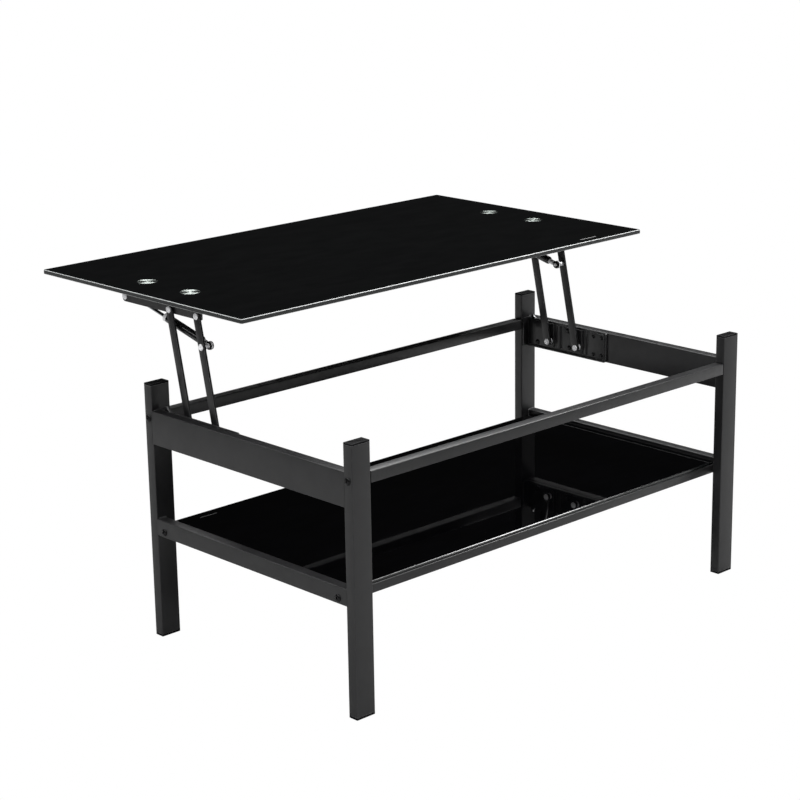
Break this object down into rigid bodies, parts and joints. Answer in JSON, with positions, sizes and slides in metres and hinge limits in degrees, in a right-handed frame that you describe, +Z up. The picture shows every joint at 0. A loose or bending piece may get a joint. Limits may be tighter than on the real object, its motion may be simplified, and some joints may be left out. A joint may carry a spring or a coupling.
{
  "type": "lift-top coffee table",
  "caption": "Tubular steel coffee table with a black glass shelf and a black glass top that lifts up and forward on a parallelogram linkage with gas struts.",
  "frame": {"origin": "centre of the footprint of the lifted table, on the floor", "axes": "+X along the table, +Y towards the sitter, the way the top moves as it lifts, +Z up"},
  "size_m": [1, 0.8098, 0.6322],
  "materials": {
    "powder_coat": "satin black powder coat",
    "black_plastic": "fine moulded texture",
    "black_glass": "tempered glass, black on its underside, ground edge",
    "disc_steel": "radially brushed, seen through glass",
    "rivet_zinc": "bright zinc plate",
    "black_bolt": "black oxide",
    "strut_paint": "smooth black enamel",
    "strut_chrome": "polished"
  },
  "bodies": {
    "base": {"foot_front_left": "black_plastic", "foot_front_right": "black_plastic", "foot_rear_left": "black_plastic", "foot_rear_right": "black_plastic", "leg_cap_front_left": "black_plastic", "leg_cap_front_right": "black_plastic", "leg_cap_rear_left": "black_plastic", "leg_cap_rear_right": "black_plastic", "leg_front_left": "powder_coat", "leg_front_right": "powder_coat", "leg_rear_left": "powder_coat", "leg_rear_right": "powder_coat", "lower_bolt_front_left": "black_bolt", "lower_bolt_front_right": "black_bolt", "lower_bolt_rear_left": "black_bolt", "lower_bolt_rear_right": "black_bolt", "lower_bracket_left": "powder_coat", "lower_bracket_right": "powder_coat", "lower_end_rail_left": "powder_coat", "lower_end_rail_right": "powder_coat", "lower_front_rail": "powder_coat", "lower_rear_rail": "powder_coat", "pivot_lower_front_left": "rivet_zinc", "pivot_lower_front_right": "rivet_zinc", "pivot_lower_rear_left": "rivet_zinc", "pivot_lower_rear_right": "rivet_zinc", "shelf_glass": "black_glass", "upper_bolt_front_left": "black_bolt", "upper_bolt_front_right": "black_bolt", "upper_bolt_rear_left": "black_bolt", "upper_bolt_rear_right": "black_bolt", "upper_end_rail_left": "powder_coat", "upper_end_rail_right": "powder_coat", "upper_front_rail": "powder_coat", "upper_rear_rail": "powder_coat"},
    "arm_rear_left": {"arm_rear_left": "powder_coat"},
    "arm_front_left": {"arm_front_left": "powder_coat", "arm_rivet_left": "rivet_zinc"},
    "arm_rear_right": {"arm_rear_right": "powder_coat"},
    "arm_front_right": {"arm_front_right": "powder_coat", "arm_rivet_right": "rivet_zinc"},
    "top": {"disc_front_left": "disc_steel", "disc_front_right": "disc_steel", "disc_rear_left": "disc_steel", "disc_rear_right": "disc_steel", "pivot_upper_front_left": "rivet_zinc", "pivot_upper_front_right": "rivet_zinc", "pivot_upper_rear_left": "rivet_zinc", "pivot_upper_rear_right": "rivet_zinc", "strut_top_pin_left": "rivet_zinc", "strut_top_pin_right": "rivet_zinc", "top_bracket_left": "powder_coat", "top_bracket_right": "powder_coat", "top_glass": "black_glass"},
    "strut_rod_left": {"strut_rod_left": "strut_chrome"},
    "strut_cylinder_left": {"strut_cylinder_left": "strut_paint", "strut_arm_pin_left": "rivet_zinc"},
    "strut_rod_right": {"strut_rod_right": "strut_chrome"},
    "strut_cylinder_right": {"strut_cylinder_right": "strut_paint", "strut_arm_pin_right": "rivet_zinc"}
  },
  "joints": [
    {"name": "lift", "type": "hinge", "parent": "base", "child": "arm_rear_left", "pos_m": [-0.456, 0.04557, 0.3815], "axis": [1, 0, 0], "range_deg": [0, 84.8]},
    {"name": "lift_front_left", "type": "hinge", "parent": "base", "child": "arm_front_left", "pos_m": [-0.456, -0.02943, 0.3815], "axis": [1, 0, 0], "range_deg": [0, 84.8]},
    {"name": "lift_rear_right", "type": "hinge", "parent": "base", "child": "arm_rear_right", "pos_m": [0.456, 0.04557, 0.3815], "axis": [1, 0, 0], "range_deg": [0, 84.8]},
    {"name": "lift_front_right", "type": "hinge", "parent": "base", "child": "arm_front_right", "pos_m": [0.456, -0.02943, 0.3815], "axis": [1, 0, 0], "range_deg": [0, 84.8]},
    {"name": "top_level", "type": "hinge", "parent": "arm_rear_left", "child": "top", "pos_m": [-0.456, 0.09186, 0.60118], "axis": [1, 0, 0], "range_deg": [-84.8, 0]},
    {"name": "strut_swing_left", "type": "hinge", "parent": "top", "child": "strut_rod_left", "pos_m": [-0.439, 0.22286, 0.60347], "axis": [1, 0, 0], "range_deg": [-7.7, 0]},
    {"name": "strut_slide_left", "type": "slide", "parent": "strut_rod_left", "child": "strut_cylinder_left", "axis": [0, 0.9697, 0.2442], "range_m": [0, 0.069]},
    {"name": "strut_swing_right", "type": "hinge", "parent": "top", "child": "strut_rod_right", "pos_m": [0.439, 0.22286, 0.60347], "axis": [1, 0, 0], "range_deg": [-7.7, 0]},
    {"name": "strut_slide_right", "type": "slide", "parent": "strut_rod_right", "child": "strut_cylinder_right", "axis": [0, 0.9697, 0.2442], "range_m": [0, 0.069]}
  ],
  "couplings": [
    {"joint": "lift_front_left", "follows": "lift", "ratio": 1},
    {"joint": "lift_rear_right", "follows": "lift", "ratio": 1},
    {"joint": "lift_front_right", "follows": "lift", "ratio": 1},
    {"joint": "top_level", "follows": "lift", "ratio": -1},
    {"joint": "strut_swing_left", "follows": "lift", "ratio": -0.088355},
    {"joint": "strut_slide_left", "follows": "lift", "m_per_rad": 0.045874},
    {"joint": "strut_swing_right", "follows": "lift", "ratio": -0.088355},
    {"joint": "strut_slide_right", "follows": "lift", "m_per_rad": 0.045874}
  ]
}
